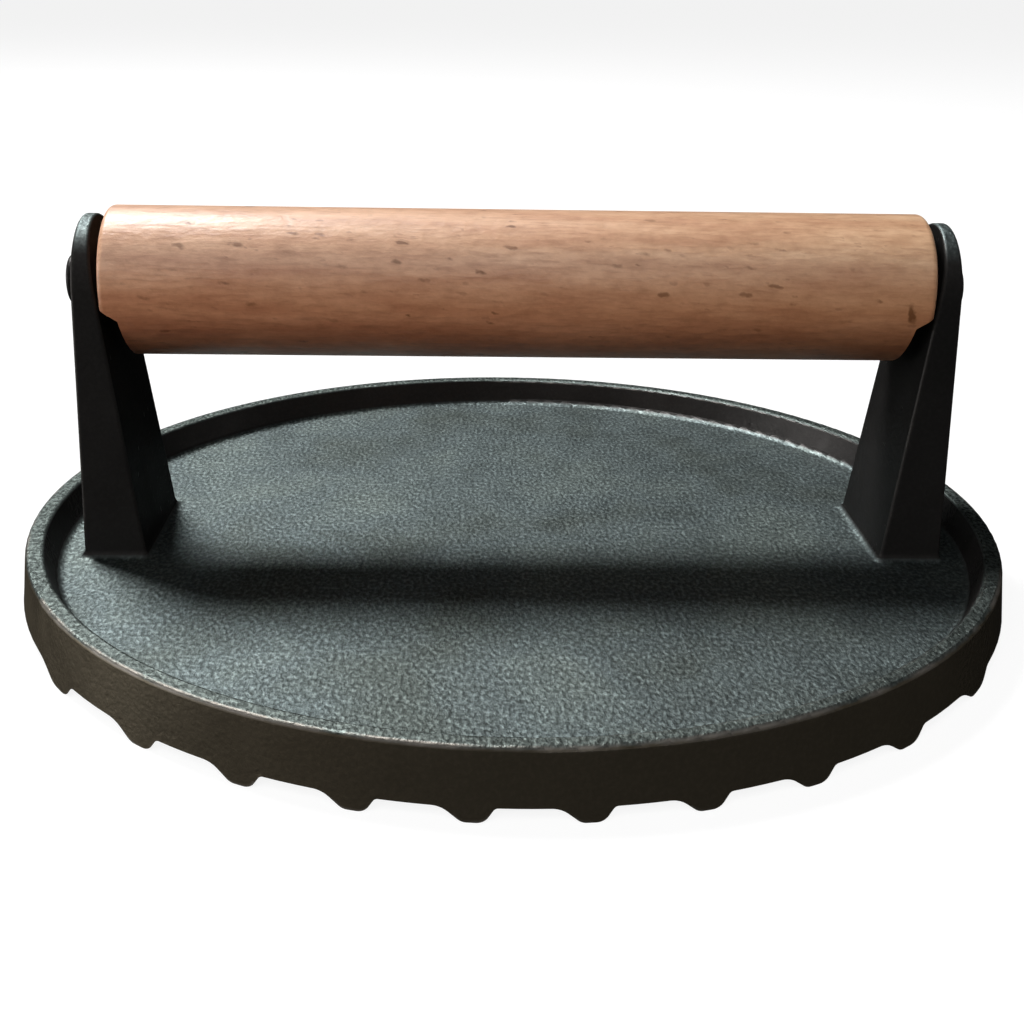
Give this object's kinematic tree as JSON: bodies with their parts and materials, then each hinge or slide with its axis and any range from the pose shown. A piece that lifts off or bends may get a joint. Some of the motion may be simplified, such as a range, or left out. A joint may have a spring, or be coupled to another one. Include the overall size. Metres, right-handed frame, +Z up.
{
  "type": "burger press",
  "caption": "Round cast iron burger press with a raised rim, ribbed underside and a wooden grip that rocks on a rod between its posts.",
  "frame": {"origin": "under the middle of the disc, in the plane that the ribs rest on", "axes": "+Z up from the ribs to the grip, X along the grip from post to post, Y along the ribs"},
  "size_m": [0.2126, 0.2126, 0.0787],
  "materials": {
    "cast_iron": "seasoned black, sand cast",
    "beech": "varnished",
    "rod_steel": "blackened steel"
  },
  "bodies": {
    "press": {"press_casting": "cast_iron", "handle_rod": "rod_steel"},
    "grip": {"wooden_grip": "beech"}
  },
  "joints": [
    {"name": "grip_rock", "type": "hinge", "parent": "press", "child": "grip", "pos_m": [0, 0, 0.0632], "axis": [1, 0, 0], "range_deg": [-15, 15]}
  ]
}
